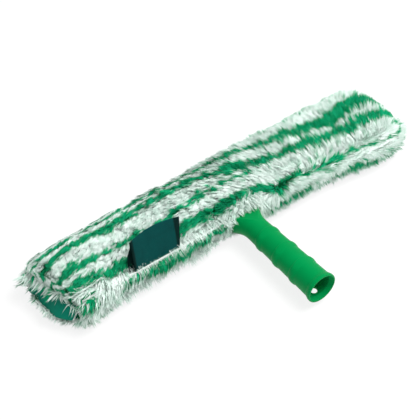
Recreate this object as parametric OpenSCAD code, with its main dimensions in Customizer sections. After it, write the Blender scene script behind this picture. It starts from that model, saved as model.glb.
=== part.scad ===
// Window scrubber: a one-piece T-bar holder inside a plush washing sleeve.
// The handle points along -Y, the bar lies along X, and the sleeve's underside faces -Z.
// The origin is on the pole socket's axis, where its straight wall begins inside the mouth.

/* [T-bar] */
// Length of the bar
bar_len = 336; // [240:4:460]
// Width of the bar, front to back
bar_w = 52; // [44:1:64]
// Thickness of the bar
bar_t = 15; // [12:0.5:18]
// Plan radius of the bar's four corners
bar_corner_r = 18; // [14:1:20]
// Water cells in each row, on each side of the neck
cells_per_side = 7; // [4:1:9]
// Thickness of the ribs between the cells
rib_t = 2; // [1.6:0.2:3]
// Thickness of the web that closes the cells at mid height
web_t = 2.4; // [1.6:0.2:4]
// Radius of the drain hole in each cell
drain_r = 2.5; // [1.5:0.25:3.5]

/* [Handle] */
// Length of the handle, from its mouth to the bar's front edge
handle_len = 108; // [96:1:150]
// Outside radius at the flared mouth
mouth_r = 14.4; // [14.2:0.1:17]
// Outside radius just behind the flare
grip_r = 13.3; // [13:0.1:14]
// Outside radius where the neck begins
neck_r = 10.9; // [10.7:0.1:12]
// Length of the flare at the mouth
flare_len = 7; // [5:0.5:10]
// Number of finger rings
ring_count = 3; // [2:1:3]
// Distance between finger rings
ring_pitch = 22.2; // [18:0.2:23]
// Distance of the first ring from the mouth
ring_start = 24.6; // [20:0.2:28]
// How far a ring stands out of the grip
ring_rise = 0.9; // [0.4:0.1:1.4]
// Radius of a ring's rounded crest
ring_crest_r = 9; // [5:0.5:10]
// Radius of the sweep from the neck out to the bar
neck_sweep_r = 26; // [24:1:30]

/* [Pole socket] */
// Radius of the socket's straight wall
socket_r = 10.9; // [9:0.1:11.2]
// Length of the straight wall
socket_straight = 30; // [20:1:36]
// Depth of the lead-in between the mouth and the straight wall
lead_in = 4; // [2:0.5:5]
// Radius of the opening at the mouth
opening_r = 12.7; // [12:0.1:13.4]
// Radius at the bottom of the tapered socket
socket_tip_r = 8.6; // [7:0.1:8.8]
// Depth of the whole socket
socket_depth = 80; // [60:1:82]
// Radius of the hole that a pole's locking button springs into
lock_hole_r = 3.5; // [2.5:0.25:4]
// Distance of the lock hole from the mouth
lock_hole_at = 10; // [9.5:0.5:16]

/* [Sleeve] */
// Room between the bar's end and the outside of the pile
end_pile = 22; // [21:0.5:28]
// Thickness of backing and pile behind the bar
back_pile = 15; // [11:0.5:20]
// Thickness of backing and pile in front of the bar
front_pile = 11.5; // [11:0.5:14]
// Thickness of backing and pile over and under the bar
top_pile = 14.5; // [12:0.5:18]
// How deep the pile flattens where the scrubber rests on it
rest_flat = 2; // [1.5:0.25:3]
// Squareness of the section, where 2 is an ellipse
squareness = 2.5; // [2.2:0.1:3]
// Plan radius of the sleeve's corners
sleeve_corner_r = 24; // [18:1:28]
// Extra pile that bulges at the front left corner
left_bulge = 10; // [0:0.5:12]
// Extra pile that bulges at the front right end
right_bulge = 9; // [0:0.5:10]
// How much the back of the pile draws in at the left end
left_taper = 5; // [0:0.5:6]
// Depth of the crease along the front of the right half
crease_depth = 3; // [0:0.5:4]
// Gap between the bar and the lining
lining_gap = 0.6; // [0.3:0.1:1]
// Thickness of the lining fabric
lining_t = 1.2; // [0.8:0.1:1.5]

/* [Closures] */
// Distance from the middle to the right end of the front flap
flap_from = 22; // [20:1:40]
// Height of the flap's edge above the bar's middle
flap_top = 9.3; // [8:0.1:10]
// How far the flap's edge leans out from the tapes
flap_lean = 3.8; // [2:0.2:4]
// Width of the hook and loop tapes
tape_w = 12; // [10:0.5:12]
// Thickness of each hook or loop tape
tape_t = 1; // [0.8:0.1:1.1]
// Clearance between pieces that open
part_gap = 0.3; // [0.2:0.05:0.4]
// Thickness of the flap's edge binding
binding_t = 1; // [0.6:0.1:1.2]
// Width of the end flap
end_flap_w = 56; // [48:1:58]
// Height of the end flap
end_flap_h = 16; // [12:0.5:18]
// Thickness of the end flap's doubled fabric
end_flap_t = 2; // [1.5:0.1:2.2]
// How far the end flap's lower edge sits inside the pile
end_recess = 4; // [3:0.5:6]
// Angle that the end flap leans in over the bar's end
end_flap_lean = 38; // [30:1:42]
// Slope of the end flap, rising towards the front
end_flap_tilt = 8; // [0:1:8]
// Angle that the end flap opens by
end_flap_swing = 90; // [60:5:100]

/* [Label] */
// Width of the folded label
label_w = 45; // [30:1:50]
// Height of the label above the flap's edge
label_h = 30; // [20:1:34]
// Distance from the middle to the label's right edge
label_from = 70; // [60:1:90]
// Thickness of the woven label
label_t = 0.5; // [0.4:0.1:0.6]
// Distance between the label's two layers at its foot
label_foot = 1.8; // [1.6:0.1:2.4]
// How far the label leans back from its foot
label_lean = 4.5; // [2:0.5:6]

/* [Hidden] */

round_fn = 96;
small_fn = 48;
hold_green = [0.0, 0.56, 0.3];
fabric_teal = [0.0, 0.45, 0.38];
pile_white = [0.86, 0.93, 0.89];
tape_green = [0.05, 0.3, 0.2];
label_teal = [0.0, 0.28, 0.27];
edge_white = [0.95, 0.97, 0.96];

// Places along Y, measured from the origin
mouth_y = -lead_in;
bar_front = mouth_y + handle_len;
bar_y = bar_front + bar_w / 2;
nose_y = bar_front + bar_t / 2;
neck_start = handle_len - neck_sweep_r + 2;

// Half sizes of the pile's outer form
pile_half_len = bar_len / 2 + end_pile;
pile_back = bar_w / 2 + back_pile;
pile_front = bar_w / 2 + front_pile;
pile_half_t = bar_t / 2 + top_pile;
rest_z = -(pile_half_t - rest_flat);

// Layers in front of the bar, from the bar outwards
lining_in_r = bar_t / 2 + lining_gap;
lining_out_r = lining_in_r + lining_t;
facing_y = nose_y - lining_out_r;
loop_y = facing_y - tape_t;
hook_y = loop_y - part_gap;
flap_in_y = hook_y - tape_t;
flap_out_y = flap_in_y - lining_t;
seat_gap = 0.1;
tape_top = 1;
// The flap ends where the neck's sweep leaves it room
flap_start = max(flap_from, neck_radius(flap_in_y - mouth_y) + 2 * part_gap);
tape_from = flap_start + 8;
fold_z = -(lining_out_r + 2);
hinge_z = rest_z;

// The left end: where the front flap stops, and the end flap's lower edge and inner layers
flap_end_x = -(pile_half_len - 17);
lining_end_x = -(bar_len / 2 + 3);
end_flap_x = -(pile_half_len - end_recess);
end_flap_y = bar_y - 8.5;
end_tape_y = bar_y - 1 - end_flap_y;
end_tape_w = bar_w - bar_t - 7;
end_flap_z = -8.6;
end_loop_inset = end_flap_t + tape_t + part_gap;
end_facing_inset = end_loop_inset + tape_t;

// Height and place of the label's foot
label_z = flap_top + binding_t + part_gap;
label_y = flap_out_y - flap_lean - 0.2;

// Turns a profile of radius and distance into a solid around the handle's axis, from the mouth
module around_handle() {
    translate([0, mouth_y, 0])
        rotate([-90, 0, 0])
            rotate_extrude($fn = round_fn)
                children();
}

// Extrudes a profile drawn in Y and Z along X, between two places
module along_x(from, to) {
    translate([from, 0, 0])
        rotate([90, 0, 90])
            linear_extrude(to - from)
                children();
}

function grip_radius(m) = grip_r + (neck_r - grip_r) * m / neck_start;

// Tapered grip with its flared, rounded mouth
module grip_profile() {
    lip = (mouth_r - opening_r) / 2;
    polygon([
        [0, 0],
        [mouth_r - lip, 0],
        [mouth_r - 0.29 * lip, 0.29 * lip],
        [mouth_r, lip],
        [mouth_r - 0.1, 0.4 * flare_len],
        [grip_radius(flare_len) + 0.25, 0.75 * flare_len],
        [grip_radius(flare_len), flare_len],
        [neck_r, neck_start],
        [0, neck_start]
    ]);
}

// Keeps a finger ring to the sides of the grip, so that it fades out above or below
module ring_limit(m, side) {
    r = grip_radius(m);
    translate([0, mouth_y + m, side * r / 4])
        rotate([90, 0, 0])
            cylinder(r = 1.25 * r, h = 3 * ring_crest_r, center = true, $fn = round_fn);
}

module finger_ring(m) {
    r = grip_radius(m);
    intersection() {
        around_handle()
            intersection() {
                translate([r + ring_rise - ring_crest_r, m])
                    circle(r = ring_crest_r, $fn = round_fn);
                translate([0, m - ring_crest_r])
                    square([r + ring_rise + 1, 2 * ring_crest_r]);
            }
        ring_limit(m, 1);
        ring_limit(m, -1);
    }
}

// Half height of the neck as it flattens from the round grip into the bar
function neck_half_t(m) =
    let (u = min(1, max(0, (m - neck_start) / (handle_len - neck_start))))
    bar_t / 2 + (neck_r - bar_t / 2) * (1 - u * u * (3 - 2 * u));

// Radius of the neck as it sweeps out to the bar
function neck_radius(m) =
    let (d = min(neck_sweep_r, max(0, m - neck_start)))
    neck_r + neck_sweep_r - sqrt(neck_sweep_r * neck_sweep_r - d * d);

// Trumpet-shaped neck, flattened above and below, with optional room around it
module neck(room = 0) {
    steps = 12;
    core_start = neck_start - 1;
    m_at = concat(
        [for (i = [0 : steps]) neck_start + neck_sweep_r * sin(90 * i / steps)],
        [nose_y - mouth_y]
    );
    intersection() {
        around_handle()
            polygon(concat(
                [[0, core_start], [neck_r + room, core_start]],
                [for (m = m_at) [neck_radius(m) + room, m - room]],
                [[0, nose_y - mouth_y - room]]
            ));
        along_x(-2 * neck_sweep_r, 2 * neck_sweep_r)
            polygon(concat(
                [for (m = m_at) [mouth_y + m, neck_half_t(m) + room]],
                [for (i = [len(m_at) - 1 : -1 : 0]) [mouth_y + m_at[i], -neck_half_t(m_at[i]) - room]],
                [for (side = [-1, 1]) [mouth_y + core_start - 1, side * (neck_r + room)]]
            ));
    }
}

// Straight wall, lead-in and taper of the socket that a pole's cone fits
module socket() {
    around_handle()
        polygon([
            [0, -1],
            [opening_r + 0.4, -1],
            [opening_r, 0.6],
            [socket_r, lead_in],
            [socket_r, lead_in + socket_straight],
            [socket_tip_r, socket_depth - 1],
            [socket_tip_r - 1, socket_depth],
            [0, socket_depth]
        ]);
}

module lock_hole() {
    translate([0, mouth_y + lock_hole_at, -mouth_r - 1])
        cylinder(r = lock_hole_r, h = mouth_r + 1, $fn = small_fn);
}

// Bar with bullnose edges: a core slab, rounded edges and rounded corners
module bar_blank() {
    edge_r = bar_t / 2;
    core_r = bar_corner_r - edge_r;
    half_l = bar_len / 2 - bar_corner_r;
    half_w = bar_w / 2 - bar_corner_r;
    translate([0, bar_y, 0]) {
        cube([bar_len - 2 * edge_r, 2 * half_w, bar_t], center = true);
        cube([2 * half_l, bar_w - 2 * edge_r, bar_t], center = true);
        for (side = [-1, 1]) {
            translate([0, side * (bar_w / 2 - edge_r), 0])
                rotate([0, 90, 0])
                    cylinder(r = edge_r, h = 2 * half_l, center = true, $fn = small_fn);
            translate([side * (bar_len / 2 - edge_r), 0, 0])
                rotate([90, 0, 0])
                    cylinder(r = edge_r, h = 2 * half_w, center = true, $fn = small_fn);
        }
        for (corner = [0 : 3]) {
            sx = (corner == 0 || corner == 3) ? 1 : -1;
            sy = corner < 2 ? 1 : -1;
            translate([sx * half_l, sy * half_w, 0])
                rotate([0, 0, 90 * corner]) {
                    rotate_extrude(angle = 90, $fn = round_fn)
                        union() {
                            translate([core_r, 0])
                                circle(r = edge_r, $fn = small_fn);
                            translate([0, -edge_r])
                                square([core_r, bar_t]);
                        }
                }
        }
    }
}

// Water cells: two rows on both faces, closed at mid height by the web and drained through it
module water_cells() {
    row_w = (bar_w - bar_t - rib_t) / 2;
    first_x = neck_sweep_r + 2;
    pitch = (bar_len / 2 - bar_t / 2 - rib_t - first_x) / cells_per_side;
    depth = (bar_t - web_t) / 2;
    for (side = [-1, 1], row = [-1, 1], i = [0 : cells_per_side - 1]) {
        x = side * (first_x + (i + 0.5) * pitch);
        y = bar_y + row * (rib_t + row_w) / 2;
        for (face = [-1, 1])
            translate([x, y, face * (web_t + depth + 1) / 2])
                cube([pitch - rib_t, row_w, depth + 1], center = true);
        translate([x, y, 0])
            cylinder(r = drain_r, h = 2 * web_t, center = true, $fn = small_fn);
    }
}

// One moulding: bar, neck, handle and pole socket
module t_bar_holder() {
    color(hold_green)
        difference() {
            union() {
                around_handle()
                    grip_profile();
                for (i = [0 : ring_count - 1])
                    finger_ring(ring_start + i * ring_pitch);
                neck();
                bar_blank();
            }
            socket();
            lock_hole();
            water_cells();
        }
}

// Reach of the pile's outer form in front of and behind the bar, at a share s of its half length
function front_reach(s) =
    pile_front + lookup(s, [
        [-1, -0.5 * left_bulge], [-0.96, -0.2 * left_bulge], [-0.92, 0.6 * left_bulge],
        [-0.87, left_bulge], [-0.74, 0.35 * left_bulge], [-0.6, 0],
        [0.42, 0], [0.6, 0.4 * right_bulge], [0.76, right_bulge], [1, right_bulge]
    ]);
function back_reach(s) =
    pile_back - lookup(s, [[-1, left_taper], [-0.86, left_taper], [-0.6, 0], [0.8, 0], [1, 4]]);
function lump(s) = 0.9 * sin(760 * s + 40) + 0.6 * sin(1310 * s);
function ease(a, b, v) =
    let (u = min(1, max(0, (v - a) / (b - a))))
    u * u * (3 - 2 * u);

// Point of the outer form at share s of the half length, end rounding e and angle t.
// The crease runs along the front of the right half, from above the neck down to the end.
function pile_point(s, e, t) =
    let (
        reach = (cos(t) > 0 ? back_reach(s) + lump(s) : front_reach(s)) - sleeve_corner_r * (1 - e),
        half_t = pile_half_t + lump(s + 0.3) - 0.62 * pile_half_t * (1 - e),
        power = 2 / squareness,
        crease_t = 118 + 34 * ease(0.1, 0.85, s),
        fold = crease_depth * ease(0.12, 0.3, s) * (1 - ease(0.8, 0.95, s))
            * exp(-pow((t - crease_t) / 11, 2)),
        y = reach * sign(cos(t)) * pow(abs(cos(t)), power),
        z = half_t * sign(sin(t)) * pow(abs(sin(t)), power),
        away = max(1, norm([y, z]))
    )
    [s * pile_half_len, bar_y + y * (1 - fold / away), z * (1 - fold / away)];

// Crowned outer form of the plush, lofted through sections along the bar
module pile_form() {
    round_share = sleeve_corner_r / pile_half_len;
    end_steps = 4;
    mid_steps = 14;
    ends = [for (i = [0 : end_steps]) 90 * (1 - i / end_steps)];
    stations = concat(
        [for (a = ends) [-1 + round_share * (1 - sin(a)), cos(a)]],
        [for (i = [1 : mid_steps - 1]) [(1 - round_share) * (2 * i / mid_steps - 1), 1]],
        [for (i = [end_steps : -1 : 0]) [1 - round_share * (1 - sin(ends[i])), cos(ends[i])]]
    );
    around = 32;
    last = len(stations) - 1;
    points = concat(
        [for (st = stations, j = [0 : around - 1]) pile_point(st[0], st[1], 360 * j / around)],
        [[-pile_half_len, bar_y, 0], [pile_half_len, bar_y, 0]]
    );
    low_pole = (last + 1) * around;
    faces = concat(
        [for (i = [0 : last - 1], j = [0 : around - 1], k = [0, 1])
            let (a = i * around + j, b = i * around + (j + 1) % around)
            k == 0 ? [a, b + around, b] : [a, a + around, b + around]],
        [for (j = [0 : around - 1]) [low_pole, j, (j + 1) % around]],
        [for (j = [0 : around - 1]) [low_pole + 1, last * around + (j + 1) % around, last * around + j]]
    );
    polyhedron(points, faces, convexity = 6);
}

// Section of the pocket: two flat sheets joined by half-round noses
module pocket_section(r) {
    rear_y = bar_y + bar_w / 2 - bar_t / 2;
    for (y = [nose_y, rear_y])
        translate([y, 0])
            circle(r = r, $fn = round_fn);
    translate([nose_y, -r])
        square([rear_y - nose_y, 2 * r]);
}

// Centre line of the flap's lining: upright over the tapes, then curving out to its edge
function flap_curve(y, from = tape_top) =
    let (steps = 8)
    [for (i = [0 : steps])
        let (z = from + (flap_top - from) * i / steps, u = (z - tape_top) / (flap_top - tape_top))
        [y - flap_lean * u * u, z]];

// Space on the left that the upper cloth leaves free in front of the bar, for tapes and flap
module front_region_section() {
    lip_z = tape_top + 3;
    label_back = label_y + label_foot + part_gap;
    polygon(concat(
        [
            [bar_y - 3 * pile_front, -2 * pile_half_t],
            [flap_in_y + part_gap, -2 * pile_half_t],
            [flap_in_y + part_gap, tape_top - tape_w - 0.5],
            [nose_y - 3.5, tape_top - tape_w - 0.5],
            [nose_y - 3.5, lip_z]
        ],
        flap_curve(flap_in_y + part_gap, lip_z),
        [
            [label_back, label_z - 0.8],
            [label_back + label_lean, label_z + label_h],
            [bar_y - 3 * pile_front, label_z + label_h]
        ]
    ));
}

module front_region() {
    along_x(-2 * pile_half_len, -flap_start)
        front_region_section();
}

// Everything below the height that the scrubber rests on
module below_rest() {
    translate([-2 * pile_half_len, bar_y - 2 * pile_back, rest_z - 100])
        cube([4 * pile_half_len, 4 * pile_back, 100]);
}

// Places the end closure's layers: the origin is the middle of the end flap's lower outer edge,
// X runs inwards through the layers and Z runs up the flap
module at_end(inset = 0) {
    translate([end_flap_x, end_flap_y, end_flap_z])
        rotate([-end_flap_tilt, 0, 0])
            rotate([0, end_flap_lean, 0])
                translate([inset, 0, 0])
                    children();
}

// Room for the end flap to swing outwards, and for the layers behind it
module end_room() {
    w = end_flap_w + 2 * part_gap;
    at_end()
        translate([0, -w / 2, 0]) {
            translate([0, w, 0])
                rotate([90, 0, 0])
                    rotate([0, 0, 90])
                        rotate_extrude(angle = end_flap_swing + 5, $fn = round_fn)
                            square([end_flap_h + part_gap, w]);
            translate([-part_gap, 0, -part_gap])
                cube([part_gap + end_facing_inset + lining_t + 0.4, w, end_flap_h + 4]);
        }
}

// Upper pile left off beyond a slanting edge, so that the end flap shows below it
module end_window() {
    y_back = end_flap_y + end_flap_w / 2 + part_gap;
    y_front = bar_y - 2 * pile_front;
    slope = 0.2;
    x_back = end_flap_x + 1.5;
    translate([0, 0, end_flap_z + 3])
        linear_extrude(3 * pile_half_t)
            polygon([
                [-2 * pile_half_len, y_back],
                [x_back, y_back],
                [x_back + slope * (y_back - y_front), y_front],
                [-2 * pile_half_len, y_front]
            ]);
}

// Plush cloth folded round the bar at the back and closed at the right end
module plush_sleeve() {
    color(pile_white)
        difference() {
            pile_form();
            below_rest();
            along_x(lining_end_x - seat_gap, bar_len / 2 + lining_gap + lining_t)
                pocket_section(lining_out_r);
            front_region();
            end_room();
            end_window();
            neck(lining_gap);
        }
}

// Smooth lining around the bar, open at the left end and along the left front
module sleeve_lining() {
    color(fabric_teal)
        difference() {
            along_x(lining_end_x, bar_len / 2 + lining_gap + lining_t - seat_gap)
                pocket_section(lining_out_r - seat_gap);
            along_x(-bar_len, bar_len / 2 + lining_gap)
                pocket_section(lining_in_r);
            translate([-bar_len, nose_y - bar_t, -bar_t])
                cube([bar_len - flap_start, bar_t - 3.5, 2 * bar_t]);
            neck(lining_gap);
        }
}

// Turned-down edge of the upper cloth, which carries the loop tape over the bar's nose
module front_facing() {
    color(fabric_teal)
        difference() {
            along_x(lining_end_x + 1, -tape_from) {
                difference() {
                    intersection() {
                        translate([nose_y, 0])
                            circle(r = lining_out_r - seat_gap, $fn = round_fn);
                        translate([nose_y - 2 * bar_t, 0])
                            square([2 * bar_t - 3.7, bar_t]);
                    }
                    translate([nose_y, 0])
                        circle(r = lining_in_r, $fn = round_fn);
                }
                translate([facing_y + seat_gap, tape_top - tape_w])
                    square([lining_t - seat_gap, tape_w - tape_top + 0.01]);
            }
            neck(lining_gap);
        }
}

module loop_tape() {
    color(tape_green)
        along_x(-bar_len / 2, -tape_from)
            translate([loop_y + seat_gap, tape_top - tape_w])
                square([tape_t, tape_w]);
}

module flap_lining_section() {
    outer = flap_curve(flap_out_y);
    inner = flap_curve(flap_in_y);
    polygon(concat(
        [[flap_out_y, fold_z]],
        outer,
        [for (i = [len(inner) - 1 : -1 : 0]) inner[i]],
        [[flap_in_y, fold_z]]
    ));
}

// Pile in front of the flap's lining and below it, as far as the fold
module flap_section() {
    edge = flap_curve(flap_out_y - seat_gap);
    polygon(concat(
        [
            [bar_y - 3 * pile_front, hinge_z],
            [bar_y - 3 * pile_front, flap_top]
        ],
        [for (i = [len(edge) - 1 : -1 : 0]) edge[i]],
        [
            [flap_out_y - seat_gap, fold_z - seat_gap],
            [flap_in_y, fold_z - seat_gap],
            [flap_in_y, hinge_z]
        ]
    ));
}

// Lower front of the sleeve, left of the handle, which opens outwards to free the bar
module closure_flap() {
    color(pile_white)
        intersection() {
            pile_form();
            along_x(flap_end_x - 1, -flap_start - part_gap)
                flap_section();
        }
}

module flap_lining() {
    color(fabric_teal)
        along_x(flap_end_x, -flap_start - part_gap)
            flap_lining_section();
}

// White binding along the flap's edge and down its left end
module flap_edge_binding() {
    module bead() {
        translate([flap_out_y - flap_lean - 0.2, flap_top + 0.1])
            square([lining_t + 0.2, binding_t]);
    }
    color(edge_white) {
        along_x(flap_end_x - binding_t, -flap_start - part_gap)
            bead();
        along_x(flap_end_x - binding_t - seat_gap, flap_end_x - seat_gap) {
            flap_lining_section();
            bead();
            translate([flap_out_y - flap_lean, flap_top - 0.1])
                square([lining_t, 0.4]);
        }
    }
}

module hook_tape() {
    color(tape_green)
        along_x(-bar_len / 2, -tape_from)
            translate([flap_in_y + seat_gap, tape_top - tape_w])
                square([tape_t - seat_gap, tape_w]);
}

// Fabric panel with rounded upper corners that leans in over the bar's end and closes the pocket
module end_flap() {
    corner = 4;
    half_w = end_flap_w / 2;
    color(fabric_teal)
        at_end()
            rotate([90, 0, 90])
                linear_extrude(end_flap_t) {
                    translate([-half_w, 0])
                        square([end_flap_w, end_flap_h - corner]);
                    translate([corner - half_w, 0])
                        square([end_flap_w - 2 * corner, end_flap_h]);
                    for (side = [-1, 1])
                        translate([side * (half_w - corner), end_flap_h - corner])
                            circle(r = corner, $fn = small_fn);
                }
}

module end_patch(inset) {
    patch_h = 7;
    color(tape_green)
        at_end(inset)
            translate([0, end_tape_y - end_tape_w / 2, end_flap_h - patch_h - 1])
                cube([tape_t, end_tape_w, patch_h]);
}

module end_hook_patch() {
    end_patch(end_flap_t);
}

module end_loop_patch() {
    end_patch(end_loop_inset);
}

// Tab that hangs from the upper lining over the bar's end and carries the loop patch
module end_facing() {
    tab_w = end_tape_w + 4;
    color(fabric_teal)
        intersection() {
            at_end(end_facing_inset)
                translate([0, end_tape_y - tab_w / 2, end_flap_h / 2 - 1])
                    cube([lining_t, tab_w, 2 * end_flap_h]);
            translate([-2 * pile_half_len, 0, -pile_half_t])
                cube([2 * pile_half_len, 2 * bar_y, pile_half_t + lining_in_r - seat_gap]);
        }
}

// Woven label folded over its top, with both layers sewn in at the foot
module blank_label() {
    color(label_teal)
        along_x(-label_from - label_w, -label_from)
            translate([label_y, label_z])
                difference() {
                    polygon([
                        [0, 0],
                        [label_foot, 0],
                        [label_lean + 3 * label_t, label_h],
                        [label_lean + label_t, label_h]
                    ]);
                    polygon([
                        [label_t, -1],
                        [label_foot - label_t, -1],
                        [label_lean + 2.2 * label_t, label_h - label_t],
                        [label_lean + 1.8 * label_t, label_h - label_t]
                    ]);
                }
}

t_bar_holder();
plush_sleeve();
sleeve_lining();
front_facing();
loop_tape();
end_facing();
end_loop_patch();
closure_flap();
flap_lining();
flap_edge_binding();
hook_tape();
end_flap();
end_hook_patch();
blank_label();
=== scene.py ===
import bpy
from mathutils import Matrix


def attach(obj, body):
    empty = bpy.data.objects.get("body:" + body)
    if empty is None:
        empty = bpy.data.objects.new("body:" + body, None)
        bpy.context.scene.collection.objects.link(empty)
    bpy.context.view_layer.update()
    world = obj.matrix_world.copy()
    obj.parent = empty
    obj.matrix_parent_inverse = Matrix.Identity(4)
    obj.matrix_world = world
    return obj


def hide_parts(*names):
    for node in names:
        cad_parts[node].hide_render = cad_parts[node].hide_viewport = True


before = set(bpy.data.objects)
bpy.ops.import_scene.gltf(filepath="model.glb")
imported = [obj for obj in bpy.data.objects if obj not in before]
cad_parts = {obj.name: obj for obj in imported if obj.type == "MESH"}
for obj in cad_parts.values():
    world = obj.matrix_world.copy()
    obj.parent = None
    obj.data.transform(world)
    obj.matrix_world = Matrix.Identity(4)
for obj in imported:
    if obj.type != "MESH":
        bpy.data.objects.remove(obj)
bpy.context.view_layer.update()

import math
import bpy
import numpy as np
from mathutils import Vector

# T-bar holder
# One moulding in green polypropylene: bar, neck and ringed handle in one shot. The mould's
# spark-eroded cavity gives it a fine matt grain.


def linear(hex_colour):
    """An sRGB hex colour as the linear colour that a shader socket takes."""
    values = [int(hex_colour[i:i + 2], 16) / 255 for i in (1, 3, 5)]
    return tuple(v / 12.92 if v < 0.04045 else ((v + 0.055) / 1.055) ** 2.4 for v in values) + (1.0,)


def add_node(tree, kind, inputs=None, **settings):
    """Adds a node with its settings and returns its outputs. An input is a value or an output."""
    node = tree.nodes.new(kind)
    for name, value in settings.items():
        setattr(node, name, value)
    for name, value in (inputs or {}).items():
        if isinstance(value, bpy.types.NodeSocket):
            tree.links.new(value, node.inputs[name])
        else:
            node.inputs[name].default_value = value
    return node.outputs


def new_finish(name, even):
    """A material with the shader values that are even all over it, and its object coordinates."""
    finish = bpy.data.materials.new(name)
    finish.use_nodes = True
    tree = finish.node_tree
    shader = tree.nodes["Principled BSDF"].inputs
    for socket, value in even.items():
        shader[socket].default_value = value
    place = add_node(tree, "ShaderNodeTexCoord")["Object"]
    return finish, tree, shader, place


# Polypropylene, satin to matt: its grain is about 0.4 mm, and its pigment is slightly cloudy.
# A colour Mix node takes its factor at 0 and its colours at 6 and 7, and gives the mix at 2.
polypropylene, tree, shader, place = new_finish("moulded green polypropylene", {
    "IOR": 1.49, "Specular IOR Level": 0.1, "Specular Tint": linear("#3fd898")})
cloud = add_node(tree, "ShaderNodeTexNoise", {"Vector": place, "Scale": 60.0, "Detail": 2.0})[0]
green = add_node(tree, "ShaderNodeMix", {0: cloud, 6: linear("#007c3e"), 7: linear("#008645")},
                 data_type="RGBA")[2]
tree.links.new(green, shader["Base Color"])
grain = add_node(tree, "ShaderNodeTexNoise", {"Vector": place, "Scale": 2600.0, "Detail": 2.0})[0]
rough = add_node(tree, "ShaderNodeMapRange", {"Value": grain, "To Min": 0.36, "To Max": 0.52})[0]
tree.links.new(rough, shader["Roughness"])
grain_bump = add_node(tree, "ShaderNodeBump", {"Height": grain, "Strength": 0.25, "Distance": 0.00012})[0]
tree.links.new(grain_bump, shader["Normal"])
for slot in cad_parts["t_bar_holder"].material_slots:
    slot.material = polypropylene

# Lining of the sleeve
# Smooth teal nylon sewn into a pocket round the bar, closed at the right end, and open at
# the left end and along the left of the front, where the bar goes in.


def mesh_piece(name, vertices, faces, finish):
    """A smooth mesh object at the origin from points in millimetres."""
    mesh = bpy.data.meshes.new(name)
    mesh.from_pydata([tuple(v) for v in np.asarray(vertices) / 1000], [], [tuple(f) for f in faces])
    mesh.materials.append(finish)
    mesh.shade_smooth()
    piece = bpy.data.objects.new(name, mesh)
    bpy.context.scene.collection.objects.link(piece)
    return piece


def cloth_shell(name, grid, thick, finish, keep=None):
    """A closed sheet of even thickness on a grid of points, with the grid's faces that are kept."""
    grid = np.asarray(grid, float)
    rows, columns = grid.shape[:2]
    keep = np.ones((rows - 1, columns - 1), bool) if keep is None else keep
    normal = np.cross(np.gradient(grid, axis=0), np.gradient(grid, axis=1))
    normal /= np.linalg.norm(normal, axis=2, keepdims=True) + 1e-9
    outer, inner = grid + normal * thick / 2, grid - normal * thick / 2
    points = np.concatenate([outer.reshape(-1, 3), inner.reshape(-1, 3)])
    faces, below, open_edges = [], rows * columns, {}
    for i, j in np.argwhere(keep):
        ring = [i * columns + j, (i + 1) * columns + j, (i + 1) * columns + j + 1, i * columns + j + 1]
        faces.append(ring)
        faces.append([below + k for k in reversed(ring)])
        for a, b in zip(ring, ring[1:] + ring[:1]):
            if (b, a) in open_edges:
                del open_edges[(b, a)]
            else:
                open_edges[(a, b)] = True
    faces += [[b, a, below + a, below + b] for a, b in open_edges]
    used = sorted({k for face in faces for k in face})
    renumber = {old: new for new, old in enumerate(used)}
    return mesh_piece(name, points[used], [[renumber[k] for k in face] for face in faces], finish)


def face_places(grid):
    """Places along X and along Y of the middles of a grid's faces."""
    middles = (grid[:-1, :-1] + grid[1:, 1:]) / 2
    return middles[..., 0], middles[..., 1]


def neck_opening(y):
    """Half width in X of the cloth's opening for the holder's flared neck, at a place along Y."""
    sweep_r, neck_r, sweep_start, ease = 26, 10.9, 80, 1.2
    d = np.clip(y - sweep_start, 0, sweep_r)
    return neck_r + sweep_r - np.sqrt(sweep_r ** 2 - d ** 2) + ease


# Nylon taffeta, calendered smooth. Its yarns are 0.5 mm apart, drawn at 0.9 mm to show.
nylon, tree, shader, place = new_finish("teal nylon taffeta", {"Roughness": 0.58, "Specular IOR Level": 0.08})
warp = add_node(tree, "ShaderNodeTexWave", {"Vector": place, "Scale": 350.0, "Distortion": 0.6},
                bands_direction="X")[1]
weft = add_node(tree, "ShaderNodeTexWave", {"Vector": place, "Scale": 350.0, "Distortion": 0.6},
                bands_direction="Z")[1]
threads = add_node(tree, "ShaderNodeMath", {0: warp, 1: weft}, operation="MULTIPLY")[0]
soft_fold = add_node(tree, "ShaderNodeTexNoise", {"Vector": place, "Scale": 45.0, "Detail": 3.0})[0]
teal = add_node(tree, "ShaderNodeMix", {0: soft_fold, 6: linear("#006450"), 7: linear("#00765f")},
                data_type="RGBA")[2]
teal = add_node(tree, "ShaderNodeMix", {0: threads, 6: teal, 7: linear("#007c64")}, data_type="RGBA")[2]
tree.links.new(teal, shader["Base Color"])
thread_bump = add_node(tree, "ShaderNodeBump", {"Height": threads, "Strength": 0.35, "Distance": 0.0001})[0]
fold_bump = add_node(tree, "ShaderNodeBump", {
    "Height": soft_fold, "Strength": 0.5, "Distance": 0.002, "Normal": thread_bump})[0]
tree.links.new(fold_bump, shader["Normal"])

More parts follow.
